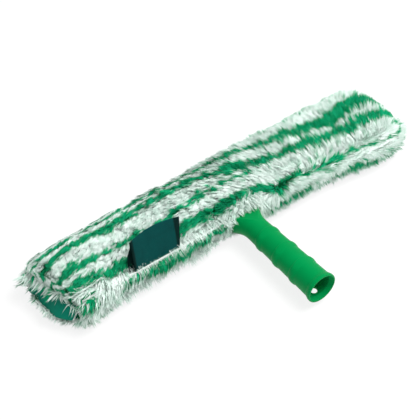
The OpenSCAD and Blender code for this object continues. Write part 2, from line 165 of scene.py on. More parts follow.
# The pocket's section: half the bar's thickness with its air, and the rounds at the bar's edges
pocket_r = 8.65
nose_y, rear_y = 111.5, 148.5
quarter, half_turn = np.radians(np.linspace(0, 90, 8)), np.radians(np.linspace(0, 180, 15))
pocket = [(nose_y - pocket_r * math.cos(a), -pocket_r * math.sin(a)) for a in quarter]
pocket += [(y, -pocket_r) for y in np.linspace(nose_y, rear_y, 12)[1:]]
pocket += [(rear_y + pocket_r * math.sin(a), -pocket_r * math.cos(a)) for a in half_turn[1:]]
pocket += [(y, pocket_r) for y in np.linspace(rear_y, nose_y, 12)[1:]]
pocket += [(nose_y - pocket_r * math.sin(a), pocket_r * math.cos(a)) for a in quarter[1:]]
pocket_y, pocket_z = np.array(pocket).T
middle_y = np.clip(pocket_y, nose_y, rear_y)
# Along the bar it keeps that section, and its last rows draw it together at the right end
lining_rows = [(x, 1.0) for x in np.linspace(-171, 168.4, 120)]
lining_rows += [(169.0, 0.97), (169.2, 0.8), (169.2, 0.4), (169.2, 0.03)]
lining_grid = np.array([
    np.stack([np.full_like(pocket_y, x), middle_y + (pocket_y - middle_y) * share, pocket_z * share], 1)
    for x, share in lining_rows])
face_x, face_y = face_places(lining_grid)
in_mouth = (face_x < -22) & (face_y < 108)
at_neck = (face_y < nose_y) & (abs(face_x) < neck_opening(face_y))
sleeve_lining = cloth_shell("lining_pocket", lining_grid, 1.0, nylon, ~in_mouth & ~at_neck)
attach(sleeve_lining, "bar_and_sleeve")
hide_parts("sleeve_lining")

# Turned-down facing and the long closure's tapes
# The upper cloth's edge is faced with the same nylon, turned down over the bar's front, and
# carries the loop tape. The hook tape is sewn to the flap's lining in front of it.


def strip_along_x(profile, x_from, x_to, steps):
    """Grid that sweeps a profile of (y, z) points along X."""
    return np.array([[(x, y, z) for y, z in profile] for x in np.linspace(x_from, x_to, steps)])


# Places along Y of the turned-down part and of the two tapes in front of it
facing_y, loop_y, hook_y = 102.85, 101.8, 100.45
over_nose = np.radians(np.linspace(26, 84, 9))
facing_profile = [(nose_y - pocket_r * math.sin(a), pocket_r * math.cos(a)) for a in over_nose]
facing_profile += [(facing_y, z) for z in np.linspace(0, -11, 8)]
facing_grid = strip_along_x(facing_profile, -170, -30.5, 70)
face_x, face_y = face_places(facing_grid)
beside_neck = abs(face_x) > neck_opening(face_y)
front_facing = cloth_shell("turned_down_facing", facing_grid, 1.0, nylon, beside_neck)
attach(front_facing, "bar_and_sleeve")
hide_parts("front_facing")

# Brushed polyamide loop: a dull felt of fine rings about 1 mm apart on a knitted ground
loop_pile, tree, shader, place = new_finish("brushed loop tape", {"Roughness": 0.95, "Sheen Weight": 0.4})
rings = add_node(tree, "ShaderNodeTexNoise", {
    "Vector": place, "Scale": 900.0, "Detail": 4.0, "Distortion": 1.5})[0]
felt = add_node(tree, "ShaderNodeMix", {0: rings, 6: linear("#033d2c"), 7: linear("#1c7d5c")},
                data_type="RGBA")[2]
tree.links.new(felt, shader["Base Color"])
felt_bump = add_node(tree, "ShaderNodeBump", {"Height": rings, "Strength": 0.9, "Distance": 0.0006})[0]
tree.links.new(felt_bump, shader["Normal"])

# Moulded polyamide hook: rows of small stiff hooks 1.3 mm apart, which stand out of the tape
hook_rows, tree, shader, place = new_finish("moulded hook tape", {"Roughness": 0.45})
dots = add_node(tree, "ShaderNodeTexVoronoi", {"Vector": place, "Scale": 760.0, "Randomness": 0.25})[0]
tips = add_node(tree, "ShaderNodeMapRange", {"Value": dots, "From Min": 0.5, "From Max": 0.15})[0]
stiff = add_node(tree, "ShaderNodeMix", {0: tips, 6: linear("#023324"), 7: linear("#11704f")},
                 data_type="RGBA")[2]
tree.links.new(stiff, shader["Base Color"])
hook_bump = add_node(tree, "ShaderNodeBump", {"Height": tips, "Strength": 1.0, "Distance": 0.0008})[0]
tree.links.new(hook_bump, shader["Normal"])

tape_z = np.linspace(-10.9, 0.9, 7)
loop_grid = strip_along_x([(loop_y, z) for z in tape_z], -167.9, -30.1, 60)
loop_tape = cloth_shell("loop_tape_band", loop_grid, 0.95, loop_pile)
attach(loop_tape, "bar_and_sleeve")
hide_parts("loop_tape")
hook_grid = strip_along_x([(hook_y, z) for z in tape_z], -167.9, -30.1, 60)
hook_tape = cloth_shell("hook_tape_band", hook_grid, 0.85, hook_rows)
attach(hook_tape, "front_flap")
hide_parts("hook_tape")

# Lining and white edge of the front flap
# Nylon lining, upright behind the tapes and leaning out above them. Its raw upper edge is
# bound with folded white tape, which goes on down its left end.
upright_y = 99.3


def ramp(values, start, over):
    """0 up to a start and 1 from a distance after it, or before it where that is negative."""
    return np.clip((values - start) / over, 0, 1)


def lean_out(z):
    """How far the flap's lining leans out at a height."""
    return 3.8 * np.clip((z - 1) / 8.3, 0, 1.3) ** 2


def edge_height(x):
    """Height of the flap's edge along X, which sags between the label and the handle."""
    return np.interp(x, [-174, -141, -118, -104, -81, -70, -59, -44, -33, -22],
                     [7.6, 7.4, 8.6, 9.2, 9.3, 9.1, 7.6, 8.0, 7.8, 6.6])


def end_slant(x, z):
    """How far the flap's left end is drawn in at a height, because the cloth is cut on a slant."""
    return 0.42 * (z + 11) * ramp(x, -148, -26)


flap_grid = []
for x in np.linspace(-173.2, -22.4, 76):
    z = np.linspace(-11.2, edge_height(x), 15)
    ripple = 0.12 * np.sin(x / 7 + z / 3)
    flap_grid.append(np.stack([x + end_slant(x, z), upright_y - lean_out(z) + ripple, z], 1))
flap_lining = cloth_shell("flap_lining_panel", flap_grid, 1.1, nylon)
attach(flap_lining, "front_flap")
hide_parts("flap_lining")

# Polyester binding tape: a dull white with fine ribs 0.7 mm apart
binding_tape, tree, shader, place = new_finish("white binding tape", {"Roughness": 0.8})
ribs = add_node(tree, "ShaderNodeTexWave", {"Vector": place, "Scale": 450.0, "Distortion": 0.4})[1]
white = add_node(tree, "ShaderNodeMix", {0: ribs, 6: linear("#d5ddd8"), 7: linear("#f2f5f3")},
                 data_type="RGBA")[2]
tree.links.new(white, shader["Base Color"])
rib_bump = add_node(tree, "ShaderNodeBump", {"Height": ribs, "Strength": 0.5, "Distance": 0.0002})[0]
tree.links.new(rib_bump, shader["Normal"])

# The tape's section is a fold of 0.75 mm radius with a leg down each side of the lining
fold_r, leg = 0.75, 1.1
fold = np.radians(np.linspace(-20, 200, 9))
edge_line = [(x, edge_height(x), False) for x in np.linspace(-22.5, -173.4, 80)]
edge_line += [(-174.0, z, True) for z in np.linspace(6.6, -11, 12)]
binding_grid = []
for x, z, down_the_end in edge_line:
    wave = 0.075 * math.sin(x / 5.0) + 0.045 * math.sin(x / 2.3)
    row = []
    for j, a in enumerate(fold):
        side, over = fold_r * math.cos(a), fold_r * math.sin(a) - (leg if j in (0, 8) else 0.0)
        if down_the_end:
            row.append((x + end_slant(x, z) - over, upright_y - lean_out(z) - side, z))
        else:
            row.append((x + end_slant(x, z), upright_y - lean_out(z + 0.4) - side, z + 0.4 + over + wave))
    binding_grid.append(row)
flap_edge = cloth_shell("flap_edge_tape", binding_grid, 0.5, binding_tape)
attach(flap_edge, "front_flap")
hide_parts("flap_edge_binding")

# End flap, its facing and their patches
# A doubled nylon panel, hemmed on three sides, folds up over the open left end. A hook
# patch inside it holds on the loop patch of a tab that hangs from the upper lining.
panel_lean, panel_tilt = math.radians(38), math.radians(-8)
panel_foot = (-186, 121.5, -8.6)


def at_end(points):
    """Turns points on the panel (inwards, across, up) into the model's axes. From 11 mm in front
    of its middle it curls inwards, the more so at its foot."""
    inwards, across, up = np.moveaxis(np.asarray(points, float), -1, 0)
    x = inwards * math.cos(panel_lean) + up * math.sin(panel_lean)
    z = -inwards * math.sin(panel_lean) + up * math.cos(panel_lean)
    y = across * math.cos(panel_tilt) - z * math.sin(panel_tilt)
    z = across * math.sin(panel_tilt) + z * math.cos(panel_tilt)
    curl = ramp(across, -11, -17) ** 1.5
    x += panel_foot[0] + curl * (9.3 - 2.6 * up / 16)
    y += panel_foot[1] + curl * (2.8 - 1.8 * up / 16)
    z += panel_foot[2] - curl * 2.2
    return np.stack([x, y, z], -1)


def end_panel(width, low, high, inset, middle=0.0, corner=0.0, sag=0.0):
    """Grid over a panel with rounded upper corners, pillowed by sag."""
    grid = np.zeros((25, 9, 3))
    for i, share in enumerate(np.linspace(-1, 1, 25)):
        y = share * width / 2
        in_corner = max(0.0, abs(y) - (width / 2 - corner))
        top = high - corner + math.sqrt(max(0.0, corner ** 2 - in_corner ** 2))
        for j, z in enumerate(np.linspace(low, top, 9)):
            pillow = sag * (1 - share ** 4) * math.sin(math.pi * (z - low) / (high - low))
            grid[i, j] = [inset - pillow + 0.2 * sag * math.sin(y / 3.7 + z), middle + y, z]
    return at_end(grid)


end_flap = cloth_shell("end_flap_panel", end_panel(55.8, 0.1, 15.9, 1.15, corner=4, sag=0.45), 1.5, nylon)
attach(end_flap, "end_closure")
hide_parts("end_flap")
end_facing = cloth_shell("end_facing_tab", end_panel(34, 7.1, 20.2, 4.9, middle=7.5), 1.0, nylon)
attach(end_facing, "bar_and_sleeve")
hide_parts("end_facing")
end_hook = cloth_shell("end_hook_band", end_panel(30, 8.1, 14.9, 2.5, middle=7.5), 0.9, hook_rows)
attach(end_hook, "end_closure")
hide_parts("end_hook_patch")
end_loop = cloth_shell("end_loop_band", end_panel(30, 8.1, 14.9, 3.8, middle=7.5), 0.9, loop_pile)
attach(end_loop, "bar_and_sleeve")
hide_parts("end_loop_patch")

# Label
# Satin-woven polyester ribbon, 45 mm wide, folded double, with both ends sewn in at the
# flap's edge. It stands up against the pile, and its two layers gape at the foot.
label_middle, label_half, label_tall = -92.5, 22.5, 29.4
label_foot_y, label_foot_z = 94.7, 10.7
front_layer = [(0.3, 0.0)] + [(0.3 + 4.75 * u ** 1.15, label_tall * u) for u in np.linspace(0.06, 1, 16)]
back_layer = [(1.5 + 4.25 * u ** 0.9, label_tall * u) for u in np.linspace(0.97, 0.0, 16)]
label_line = front_layer + [(5.35, 29.85), (5.72, 29.5)] + back_layer
label_grid = []
for x in np.linspace(-115, -70, 31):
    belly = math.cos((x - label_middle) / 14.4)
    row = []
    for j, (y, z) in enumerate(label_line):
        spread = 3.2 * z / 30 * max(0.0, (x - label_middle) / label_half)
        open_end = max(0.0, (-95 - x) / 20) if j > len(label_line) / 2 else 0.0
        gape = 3.4 * math.sin(math.pi * min(1, z / 27 + 0.12)) * open_end
        skew = 3.6 * open_end * (0.55 + 0.45 * math.cos(math.pi * z / 30))
        back = label_foot_y + y + 2.4 * belly * z / 30 + gape
        row.append((x + spread - skew, back, label_foot_z + z * (1 + 0.1 * belly)))
    label_grid.append(row)

# Polyester ribbon: ribs 0.6 mm apart catch the light, and its selvages are denser and darker
woven_ribbon, tree, shader, place = new_finish("woven label ribbon", {
    "Roughness": 0.65, "Specular IOR Level": 0.06})
weft = add_node(tree, "ShaderNodeTexWave", {"Vector": place, "Scale": 520.0, "Distortion": 0.5},
                bands_direction="Z")[1]
warp = add_node(tree, "ShaderNodeTexWave", {"Vector": place, "Scale": 620.0, "Distortion": 0.3},
                bands_direction="X")[1]
crossings = add_node(tree, "ShaderNodeMath", {0: weft, 1: warp}, operation="MULTIPLY")[0]
mottle = add_node(tree, "ShaderNodeTexNoise", {"Vector": place, "Scale": 160.0, "Detail": 3.0})[0]
along_x = add_node(tree, "ShaderNodeSeparateXYZ", {0: place})[0]
off_middle = add_node(tree, "ShaderNodeMath", {0: along_x, 1: -label_middle / 1000}, operation="ADD")[0]
off_middle = add_node(tree, "ShaderNodeMath", {0: off_middle}, operation="ABSOLUTE")[0]
selvage = add_node(tree, "ShaderNodeMapRange", {
    "Value": off_middle, "From Min": 0.0195, "From Max": 0.0207})[0]
ribbon = add_node(tree, "ShaderNodeMix", {0: mottle, 6: linear("#002b2d"), 7: linear("#00403f")},
                  data_type="RGBA")[2]
ribbon = add_node(tree, "ShaderNodeMix", {0: crossings, 6: ribbon, 7: linear("#00544f")}, data_type="RGBA")[2]
ribbon = add_node(tree, "ShaderNodeMix", {0: selvage, 6: ribbon, 7: linear("#001f1d")}, data_type="RGBA")[2]
tree.links.new(ribbon, shader["Base Color"])
ribbon_bump = add_node(tree, "ShaderNodeBump", {"Height": crossings, "Strength": 0.6, "Distance": 0.0002})[0]
tree.links.new(ribbon_bump, shader["Normal"])
label = cloth_shell("woven_label", label_grid, 0.42, woven_ribbon)
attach(label, "label")
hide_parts("blank_label")

# Stitching
# Lockstitch in polyester thread: it hems the linings and the end flap, and holds the tapes
# and the label. Each row is a line of raised stitches, 2.6 mm apart and 0.4 mm thick.

# Filament thread has a slight sheen, and its twist shows as light and dark specks
thread_finishes = []
for name, dark, light in (
    ("green polyester thread", "#00523f", "#1d8a6c"),
    ("white polyester thread", "#c9d4ce", "#f4f7f5"),
):
    thread, tree, shader, place = new_finish(name, {"Roughness": 0.55})
    twist = add_node(tree, "ShaderNodeTexNoise", {"Vector": place, "Scale": 1500.0})[0]
    specks = add_node(tree, "ShaderNodeMix", {0: twist, 6: linear(dark), 7: linear(light)},
                      data_type="RGBA")[2]
    tree.links.new(specks, shader["Base Color"])
    thread_finishes.append(thread)
thread_green, thread_white = thread_finishes

stitch_row = bpy.data.node_groups.new("stitch row", "GeometryNodeTree")
for name, kind, value in (
    ("Line", "Geometry", None), ("Stitch Pitch", "Float", 0.0026), ("Thread Radius", "Float", 0.00022),
    ("Stitch Length", "Float", 0.0019), ("Thread", "Material", None),
):
    socket = stitch_row.interface.new_socket(name, in_out="INPUT", socket_type="NodeSocket" + kind)
    if value is not None:
        socket.default_value = value
stitch_row.interface.new_socket("Stitches", in_out="OUTPUT", socket_type="NodeSocketGeometry")
given = add_node(stitch_row, "NodeGroupInput")
curve = add_node(stitch_row, "GeometryNodeMeshToCurve", {0: given["Line"]})[0]
spaced = add_node(stitch_row, "GeometryNodeResampleCurve", {0: curve, 3: given["Stitch Pitch"]},
                  mode="LENGTH")[0]
bead = add_node(stitch_row, "GeometryNodeMeshUVSphere", {"Segments": 6, "Rings": 4, "Radius": 0.5})[0]
tangent = add_node(stitch_row, "GeometryNodeInputTangent")[0]
along = add_node(stitch_row, "FunctionNodeAlignRotationToVector", {"Vector": tangent}, axis="X")[0]
thick = add_node(stitch_row, "ShaderNodeMath", {0: given["Thread Radius"], 1: 2.0}, operation="MULTIPLY")[0]
size = add_node(stitch_row, "ShaderNodeCombineXYZ", {0: given["Stitch Length"], 1: thick, 2: thick})[0]
placed = add_node(stitch_row, "GeometryNodeInstanceOnPoints", {
    "Points": spaced, "Instance": bead, "Rotation": along, "Scale": size})[0]
real = add_node(stitch_row, "GeometryNodeRealizeInstances", {0: placed})[0]
sewn = add_node(stitch_row, "GeometryNodeSetMaterial", {"Geometry": real, "Material": given["Thread"]})[0]
add_node(stitch_row, "NodeGroupOutput", {0: sewn})


def grown(name, source, tree, values):
    """Runs a geometry tree on a mesh and returns its result as a plain mesh object."""
    carrier = bpy.data.objects.new(name + "_carrier", source)
    bpy.context.scene.collection.objects.link(carrier)
    modifier = carrier.modifiers.new("grow", "NODES")
    modifier.node_group = tree
    for item in tree.interface.items_tree:
        if item.in_out == "INPUT" and item.name in values:
            modifier[item.identifier] = values[item.name]
    bpy.context.view_layer.update()
    evaluated = carrier.evaluated_get(bpy.context.evaluated_depsgraph_get())
    mesh = bpy.data.meshes.new_from_object(evaluated)
    mesh.name = name
    bpy.data.objects.remove(carrier)
    piece = bpy.data.objects.new(name, mesh)
    bpy.context.scene.collection.objects.link(piece)
    return piece


def sew(name, lines, thread, body, pitch=2.6, length=1.9):
    """Rows of stitches along lines of points in millimetres, on one body."""
    points, edges = [], []
    for line in lines:
        start = len(points)
        points += [tuple(np.asarray(p) / 1000) for p in line]
        edges += [(start + k, start + k + 1) for k in range(len(line) - 1)]
    path = bpy.data.meshes.new(name + "_path")
    path.from_pydata(points, edges, [])
    rows = grown(name, path, stitch_row, {
        "Stitch Pitch": pitch / 1000, "Stitch Length": length / 1000, "Thread": thread})
    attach(rows, body)


lining_hem, binding_seam = [], []
for x in np.linspace(-171, -23, 60):
    z = edge_height(x)
    lining_hem.append((x + end_slant(x, z - 2.2), upright_y - lean_out(z - 2.2) - 0.62, z - 2.2))
    binding_seam.append((x + end_slant(x, z), upright_y - lean_out(z) - 1.1, z - 0.1))
hook_seams, loop_seams = [
    [[(x, y, z) for x in np.linspace(-167, -31, 30)] for z in (-9.9, -0.1)]
    for y in (hook_y - 0.6, loop_y - 0.55)]
sew("flap_stitches", [lining_hem] + hook_seams, thread_green, "front_flap")
sew("flap_edge_stitches", [binding_seam], thread_white, "front_flap")
sew("facing_stitches", loop_seams, thread_green, "bar_and_sleeve")
panel_hem = [(0.15, across, up) for across, up in (
    (-26.4, 1.4), (-26.4, 12), (-24.5, 14.2), (24.5, 14.2), (26.4, 12), (26.4, 1.4))]
patch_seam = [(0.05, across, up) for across, up in ((-7, 9), (22, 9), (22, 14), (-7, 14), (-7, 9))]
sew("end_flap_stitches", [at_end(panel_hem), at_end(patch_seam)], thread_green, "end_closure")
label_seam = [(x, 94.42, 12.4) for x in np.linspace(-114, -71, 20)]
sew("label_stitches", [label_seam], thread_green, "label", pitch=2.2, length=1.6)

# Plush sleeve
# Warp-knitted plush in white and green bands, about 13 mm deep, folded round the bar with
# its back edge closed. The cloth under the pile is one dense piece, and yarns grow from it.
sleeve_half, sleeve_y, half_thick = 190.0, 130.0, 22.0
end_r, squareness = 24.0, 2.5


def front_reach(s):
    """How far the pile comes forward of the sleeve's axis, along its half length."""
    return 37.5 + np.interp(s, [-1, -0.96, -0.92, -0.87, -0.74, -0.6, 0.42, 0.6, 0.76, 1],
                            [-5, -2, 6, 10, 3.5, 0, 0, 3.6, 9, 9])


def back_reach(s):
    """How far the pile goes behind the sleeve's axis, along its half length."""
    return 41 - np.interp(s, [-1, -0.86, -0.6, 0.8, 1], [5, 5, 0, 0, 4])


def lump(s):
    """The soft lumps of the pile along the sleeve."""
    return 0.9 * np.sin(np.radians(760 * s + 40)) + 0.6 * np.sin(np.radians(1310 * s))


def pile_place(points):
    """How far out points in millimetres lie in the pile's form (1 is its surface), and their
    girth angle: 0 at the back, 90 on top, 180 at the front."""
    s = points[:, 0] / sleeve_half
    from_end = np.clip((sleeve_half - abs(points[:, 0])) / end_r, 0, 1)
    drawn_in = 1 - np.sqrt(np.clip(1 - (1 - from_end) ** 2, 0, 1))
    y, z = points[:, 1] - sleeve_y, points[:, 2]
    reach = np.where(y > 0, back_reach(s) + lump(s), front_reach(s)) - end_r * drawn_in
    half_t = half_thick + lump(s + 0.3) - 0.62 * half_thick * drawn_in
    c = np.sign(y) * (abs(y) / reach) ** (squareness / 2)
    w = np.sign(z) * (abs(z) / half_t) ** (squareness / 2)
    return c * c + w * w, np.degrees(np.arctan2(w, c)) % 360


# Green bands knitted into the cloth. Each is a line of places along X, with its girth angle
# and its half width in degrees of girth.
green_bands = [
    [(-190, 60, 4), (-165, 56, 4), (-120, 49, 4), (-45, 50, 4), (13, 62, 5), (36, 71, 5), (58, 81, 6),
     (81, 83, 7), (100, 88, 7), (122, 96, 8), (148, 87, 8), (170, 89, 8), (190, 90, 5)],
    [(-190, 88, 5), (-165, 77, 6), (-144, 69, 6), (-96, 72, 6.5), (-70, 68, 6), (-33, 69, 6), (-12, 72, 5),
     (5, 83, 5), (23, 88, 5), (40, 96, 6), (59, 105, 7), (83, 106, 8), (102, 112, 8), (129, 115, 8),
     (151, 111, 8), (190, 118, 9)],
    [(172, 134, 3), (180, 138, 6), (190, 142, 7)],
    [(-190, 110, 3), (-165, 98, 4), (-150, 94, 4), (-127, 97, 3), (-72, 97, 3), (-48, 97, 3), (-12, 93, 3),
     (18, 98, 3), (30, 102, 2)],
    [(-190, 128, 8), (-165, 116, 7), (-152, 114, 8), (-133, 125, 10), (-100, 129, 11), (-50, 125, 10),
     (-18, 128, 10), (0, 123, 9), (22, 130, 8), (40, 150, 6), (57, 141, 6), (75, 150, 3), (92, 150, 5),
     (110, 150, 5), (130, 149, 4), (190, 156, 4)],
    [(-174, 147, 3), (-160, 148, 6), (-152, 150, 3)],
    [(28, 184, 3), (52, 184, 7), (66, 182, 5), (80, 195, 3), (122, 181, 7), (152, 191, 5), (190, 188, 6)],
    [(-176, 232, 7), (0, 228, 7), (190, 230, 8)],
    [(-176, 252, 4), (0, 250, 4), (190, 256, 4)],
    [(-176, 284, 9), (0, 280, 9), (190, 288, 9)],
    [(-190, 318, 4), (0, 314, 4), (190, 318, 4)],
    [(-190, 350, 6), (0, 346, 6), (190, 352, 6)],
    [(-190, 28, 4), (-60, 24, 4), (60, 30, 4), (190, 38, 4)],
]


def green_share(x, girth, bands):
    """How far inside a green band a place is: above 0.5 is green. A trace of it in the right
    half tints the white there."""
    # A band fades over 9 degrees of girth at its edges and over 16 mm at its ends
    edge_fade, end_fade = 9.0, 16.0
    share = 0.16 * ramp(x, 10, 60)
    for band in bands:
        band_x, band_girth, band_half = np.array(band, float).T
        off = abs((girth - np.interp(x, band_x, band_girth) + 180) % 360 - 180)
        inside = 0.5 + (np.interp(x, band_x, band_half) - off) / edge_fade
        inside -= np.clip((x - band_x[-1]) / end_fade, 0, 2) + np.clip((band_x[0] - x) / end_fade, 0, 2)
        share = np.maximum(share, np.clip(inside, 0, 1))
    return share


def combed(points, normals, girth, cut_edge):
    """Which way the pile leans, where 1 bends its tips by 45 degrees, and its share of full length."""
    x, y, z = points.T
    lean, length = np.zeros_like(points), np.ones(len(points))
    # On top it lies to the left and forwards, and turns backwards in the right half
    leftwards = np.interp(x, [-190, -60, 20, 80, 150, 180], [1.4, 1.3, 0.9, 0.2, -0.1, -0.7])
    forwards = np.interp(x, [-90, -30, 30, 100, 180], [1.0, 0.4, -0.6, -1.0, -0.7])
    lean[:, 0] -= leftwards * np.clip(normals[:, 2] * 1.4 + 0.3, 0, 1)
    lean[:, 1] -= forwards * np.clip(normals[:, 2], 0, 1)
    # At the sides it hangs, and it is worn shorter in front and behind
    behind = ramp(y, 150, 14)
    lean[:, 2] -= (0.45 + 0.5 * behind) * (1 - abs(normals[:, 2]))
    length *= (1 - 0.4 * behind) * np.where(y < 105, 0.85, 1.0)
    length *= 1 - 0.25 * ramp(x, 30, 40) * ramp(y, 138, 12)
    # At the left end it is clipped on the cut edge, short along the top and swept up below
    lean[cut_edge, 2] -= 0.9
    length[cut_edge] *= 0.2
    top_edge = ramp(x, -162, -8) * (z > 6)
    lean[:, 0] += top_edge * (y < 145) - 0.3 * ramp(x, -160, -20)
    lean[:, 2] += 0.4 * top_edge * (y < 145)
    length *= 1 - 0.2 * top_edge
    length[(x < -172) & (z < -6) & (y > 97)] *= 0.6
    under_panel = (x < -171) & (z < -5) & (y > 99)
    lean[under_panel] += (0.3, 0, 0.75)
    length[under_panel] *= 1.1
    # At the right end it spreads outwards low in front and is short above
    right, low_front = ramp(x, 165, 15), (y < 108) & (z < 4)
    lean[:, 0] += np.where(low_front, 1.2, 0.1) * right
    lean[:, 2] += 0.15 * right
    length *= np.where(low_front, 1 + 0.2 * right, 1 - 0.55 * right)
    # It is short beside the neck, falls over the front seam and lies along it to the right
    length[(x > -38) & (x < -8) & (y < 106) & (z < 9)] *= 0.6
    over_seam = np.exp(-((girth - 158) / 14) ** 2) * (z > 4)
    lean[:, 1:] -= 0.5 * over_seam[:, None]
    lean[:, 0] += 1.7 * np.exp(-((girth - 160) / 14) ** 2) * ramp(x, 30, 30)
    length *= 1 + 0.45 * over_seam * ramp(x, -138, -15) * (1 - 1.6 * top_edge)
    return lean, length


# The knitted ground between the yarns is in their colours, with its green painted darker as shade deep in the
# pile, and with tufts 4.5 mm apart in relief
plush_ground, tree, shader, place = new_finish("knitted plush ground", {
    "Roughness": 0.95, "Specular IOR Level": 0.05})
band = add_node(tree, "ShaderNodeAttribute", attribute_name="green_share")["Fac"]
ragged = add_node(tree, "ShaderNodeTexNoise", {"Vector": place, "Scale": 240.0, "Detail": 3.0})[0]
band = add_node(tree, "ShaderNodeMath", {0: band, 1: ragged}, operation="ADD")[0]
band = add_node(tree, "ShaderNodeMapRange", {"Value": band, "From Min": 0.92, "From Max": 1.08})[0]
tufted = add_node(tree, "ShaderNodeTexVoronoi", {"Vector": place, "Scale": 220.0})[0]
pale = add_node(tree, "ShaderNodeMix", {0: tufted, 6: linear("#cfe3d9"), 7: linear("#eef6f2")},
                data_type="RGBA")[2]
# Painted shade: the ground's green is darker than the green yarns, standing in for the shade deep between
# them
green_ground_painted_darker = add_node(tree, "ShaderNodeMix", {0: tufted, 6: linear("#007c50"), 7: linear("#00935e")},
                data_type="RGBA")[2]
ground = add_node(tree, "ShaderNodeMix", {0: band, 6: pale, 7: green_ground_painted_darker}, data_type="RGBA")[2]
tree.links.new(ground, shader["Base Color"])
tuft_bump = add_node(tree, "ShaderNodeBump", {"Height": tufted, "Strength": 0.8, "Distance": 0.002})[0]
tree.links.new(tuft_bump, shader["Normal"])


def cloth_under_pile(node, name, bands):
    """The dense cloth that a CAD solid of plush becomes: remeshed, drawn in by the depth of its
    pile, and marked with where pile grows, its band, its direction, its length and its zone."""
    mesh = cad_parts[node].data.copy()
    mesh.materials.clear()
    mesh.materials.append(plush_ground)
    piece = bpy.data.objects.new(name, mesh)
    bpy.context.scene.collection.objects.link(piece)
    weld = piece.modifiers.new("weld", "WELD")
    weld.merge_threshold = 0.00002
    voxels = piece.modifiers.new("voxels", "REMESH")
    voxels.mode = "VOXEL"
    voxels.voxel_size = 0.002
    voxels.use_smooth_shade = True
    bpy.context.view_layer.update()
    evaluated = piece.evaluated_get(bpy.context.evaluated_depsgraph_get())
    mesh = piece.data = bpy.data.meshes.new_from_object(evaluated)
    mesh.name = name
    piece.modifiers.clear()

    count = len(mesh.vertices)
    points, normals = np.zeros(count * 3), np.zeros(count * 3)
    mesh.vertices.foreach_get("co", points)
    mesh.vertices.foreach_get("normal", normals)
    points, normals = points.reshape(-1, 3) * 1000, normals.reshape(-1, 3)
    x, _, z = points.T
    # Pile grows where the solid is near the surface of the pile's form and faces out of it
    level, girth = pile_place(points)
    faces_out = (pile_place(points + normals * 0.5)[0] - level) > 0.01
    at_cap = (abs(x) > 188) & (abs(normals[:, 0]) > 0.7)
    at_foot = (z < -19) & (normals[:, 2] < -0.5)
    cut_edge = (x < -168) & (z > 4.5) & (normals[:, 0] < -0.45)
    end_opening = (x < -171) & (z > -8.5) & (level < 0.86)
    grows = ((((level > 0.8) & faces_out) | at_cap | at_foot) & ~end_opening) | cut_edge
    depth = np.where(cut_edge, 3.2, 6.3) * grows
    points = points - normals * depth[:, None]
    # The flap's left end is drawn in on a slant, like its lining
    slanted = (points[:, 1] < 100) & (points[:, 0] < -166) & (points[:, 2] > -14)
    points[slanted, 0] = -166 + (points[slanted, 0] + 166) * 0.25 + 0.2 * np.clip(points[slanted, 2], -10, 8)
    mesh.vertices.foreach_set("co", (points / 1000).ravel())

    lean, length = combed(points, normals, girth, cut_edge)
    density = np.where(cut_edge, 1.8, grows)
    for mark, kind, field, values in (
        ("pile_grows", "FLOAT", "value", density),
        ("green_share", "FLOAT", "value", green_share(points[:, 0], girth, bands)),
        ("pile_lean", "FLOAT_VECTOR", "vector", lean.ravel()),
        ("pile_length", "FLOAT", "value", length),
    ):
        mesh.attributes.new(mark, kind, "POINT").data.foreach_set(field, values.astype(np.float32))
    # Five zones along the sleeve above its middle and five below, each grown as a piece
    middles = np.zeros(len(mesh.polygons) * 3)
    mesh.polygons.foreach_get("center", middles)
    middles = middles.reshape(-1, 3) * 1000
    zone = np.clip(((middles[:, 0] + sleeve_half) / 76).astype(int), 0, 4) + 5 * (middles[:, 2] < 0)
    mesh.attributes.new("pile_zone", "INT", "FACE").data.foreach_set("value", zone.astype(np.int32))
    return piece


# Microfibre yarn, brushed and soft, so it is matt. Each yarn has one colour.
pile_yarn, tree, shader, place = new_finish("microfibre pile yarn", {
    "Roughness": 0.9, "Specular IOR Level": 0.08})
yarn_colour = add_node(tree, "ShaderNodeAttribute", attribute_name="yarn_colour")["Color"]
tree.links.new(yarn_colour, shader["Base Color"])

# The tree sows yarns over one zone, draws them together in tufts, colours them and combs them
pile = bpy.data.node_groups.new("pile yarns", "GeometryNodeTree")
for name, kind, value in (
    ("Cloth", "Geometry", None), ("Zone", "Int", 0), ("Yarns per Square Millimetre", "Float", 1.8),
    ("Yarn Length", "Float", 0.0105), ("Yarn Radius", "Float", 0.0004), ("Tuft Size", "Float", 0.0032),
    ("Tuft Pull", "Float", 0.4), ("Waviness", "Float", 0.36), ("Rest Height", "Float", -0.0198),
    ("Seed", "Int", 3), ("Yarn", "Material", None),
):
    socket = pile.interface.new_socket(name, in_out="INPUT", socket_type="NodeSocket" + kind)
    if value is not None:
        socket.default_value = value
pile.interface.new_socket("Pile", in_out="OUTPUT", socket_type="NodeSocketGeometry")
given = add_node(pile, "NodeGroupInput")
marks = {}
for name, kind in (("pile_zone", "INT"), ("pile_grows", "FLOAT"), ("pile_length", "FLOAT"),
                   ("pile_lean", "FLOAT_VECTOR"), ("green_share", "FLOAT"), ("yarn_out", "FLOAT_VECTOR"),
                   ("yarn_length", "FLOAT"), ("yarn_lean", "FLOAT_VECTOR"), ("yarn_up", "FLOAT")):
    marks[name] = add_node(pile, "GeometryNodeInputNamedAttribute", {"Name": name}, data_type=kind)[0]
position = add_node(pile, "GeometryNodeInputPosition")[0]

